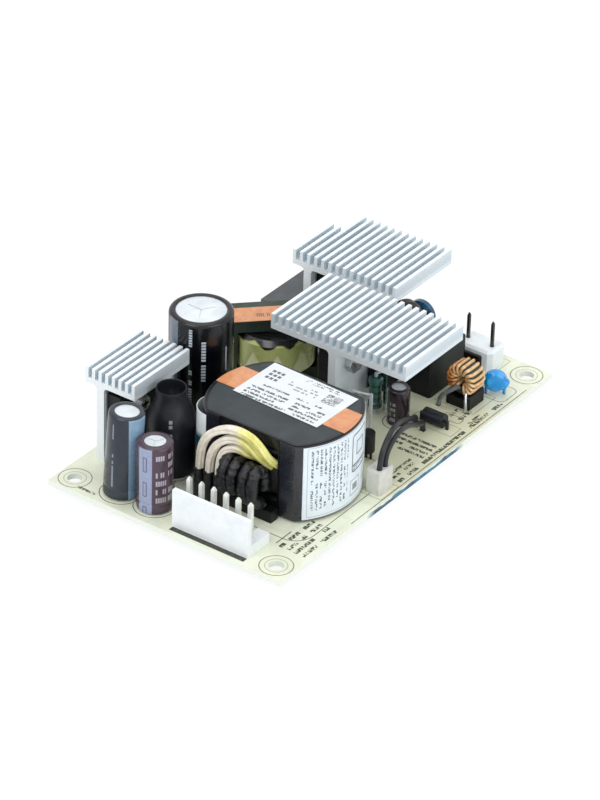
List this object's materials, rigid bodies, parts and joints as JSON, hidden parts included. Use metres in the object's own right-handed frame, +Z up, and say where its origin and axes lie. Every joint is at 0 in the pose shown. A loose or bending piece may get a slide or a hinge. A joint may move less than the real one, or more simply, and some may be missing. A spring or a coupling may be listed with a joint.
{
  "type": "open frame power supply",
  "caption": "Open frame power supply on a bare circuit board with finned heatsinks, a round transformer, capacitors, an output header and a mains inlet.",
  "frame": {"origin": "under the board's centre, at the tips of the solder joints", "axes": "+X along the board's long side from the output header to the mains inlet, +Y along the short side, +Z up from the board"},
  "size_m": [0.127, 0.0762, 0.0382],
  "materials": {
    "black_box": "black moulded box",
    "black_sleeve": "black insulating sleeve",
    "black_tape": "black polyester tape",
    "blue_coat": "blue dipped coating",
    "board": "pale cream solder mask over glass epoxy laminate",
    "bobbin": "black phenolic bobbin",
    "can": "bare aluminium can",
    "copper": "enamelled copper wire",
    "dark_coat": "dark dipped coating",
    "device": "black moulding compound",
    "diode_body": "black moulded axial body",
    "ferrite": "dark grey sintered ferrite",
    "film_box": "slate grey moulded box",
    "green_coat": "light green lacquer",
    "heatsink": "bare extruded aluminium",
    "ivory": "ivory nylon",
    "label": "white label with plain printed blocks",
    "lead": "tinned copper",
    "litz": "served stranded wire",
    "nylon": "white nylon",
    "orange_tape": "orange polyimide tape",
    "pad": "grey thermal pad",
    "ring_core": "teal coated powder core",
    "screw": "plated steel",
    "sleeve_black": "black sleeve with a grey stripe",
    "sleeve_brown": "brown sleeve with a lavender stripe",
    "sleeve_slate": "dark slate sleeve with a pale blue stripe",
    "solder": "tin solder",
    "teal_coat": "teal lacquer with colour bands",
    "yellow_tape": "yellow polyester tape over the winding"
  },
  "bodies": {
    "root": {"boost_diode": "device", "bridge_rectifier": "device", "bulk_capacitor_can": "can", "bulk_capacitor_sleeve": "sleeve_black", "choke_bobbin": "bobbin", "choke_lower_core": "ferrite", "choke_pins": "lead", "choke_tape_strip": "orange_tape", "choke_upper_core": "ferrite", "choke_winding": "yellow_tape", "circuit_board": "board", "control_transistor": "device", "device_leads": "lead", "device_screws": "screw", "film_capacitor": "black_box", "input_fuse": "black_box", "inrush_thermistor": "dark_coat", "insulating_pads": "pad", "line_choke_base": "bobbin", "line_choke_ring": "ring_core", "line_choke_turns": "copper", "mains_capacitor": "film_box", "mains_heatsink": "heatsink", "mains_inlet": "nylon", "mains_inlet_pins": "lead", "optocoupler": "device", "output_capacitor_can": "can", "output_capacitor_sleeve": "sleeve_brown", "output_header": "nylon", "output_header_pins": "lead", "output_heatsink": "heatsink", "output_rectifier": "device", "safety_capacitor_front": "blue_coat", "safety_capacitor_rear": "blue_coat", "sense_resistor": "teal_coat", "sensor_lead_a": "black_sleeve", "sensor_lead_b": "black_sleeve", "sensor_plug": "ivory", "shrink_cover": "black_sleeve", "sleeved_capacitor_can": "can", "slim_capacitor_can": "can", "slim_capacitor_sleeve": "sleeve_slate", "snubber_diode": "diode_body", "solder_joints": "solder", "start_capacitor_can": "can", "start_capacitor_sleeve": "sleeve_brown", "start_resistor": "green_coat", "switch_heatsink": "heatsink", "switching_transistor": "device", "transformer_bobbin": "bobbin", "transformer_litz_leads": "litz", "transformer_lower_core": "ferrite", "transformer_pins": "lead", "transformer_side_label": "label", "transformer_sleeved_leads": "black_sleeve", "transformer_tape_band": "black_tape", "transformer_tape_strip": "orange_tape", "transformer_top_label": "label", "transformer_upper_core": "ferrite", "transformer_winding": "yellow_tape"}
  },
  "joints": []
}
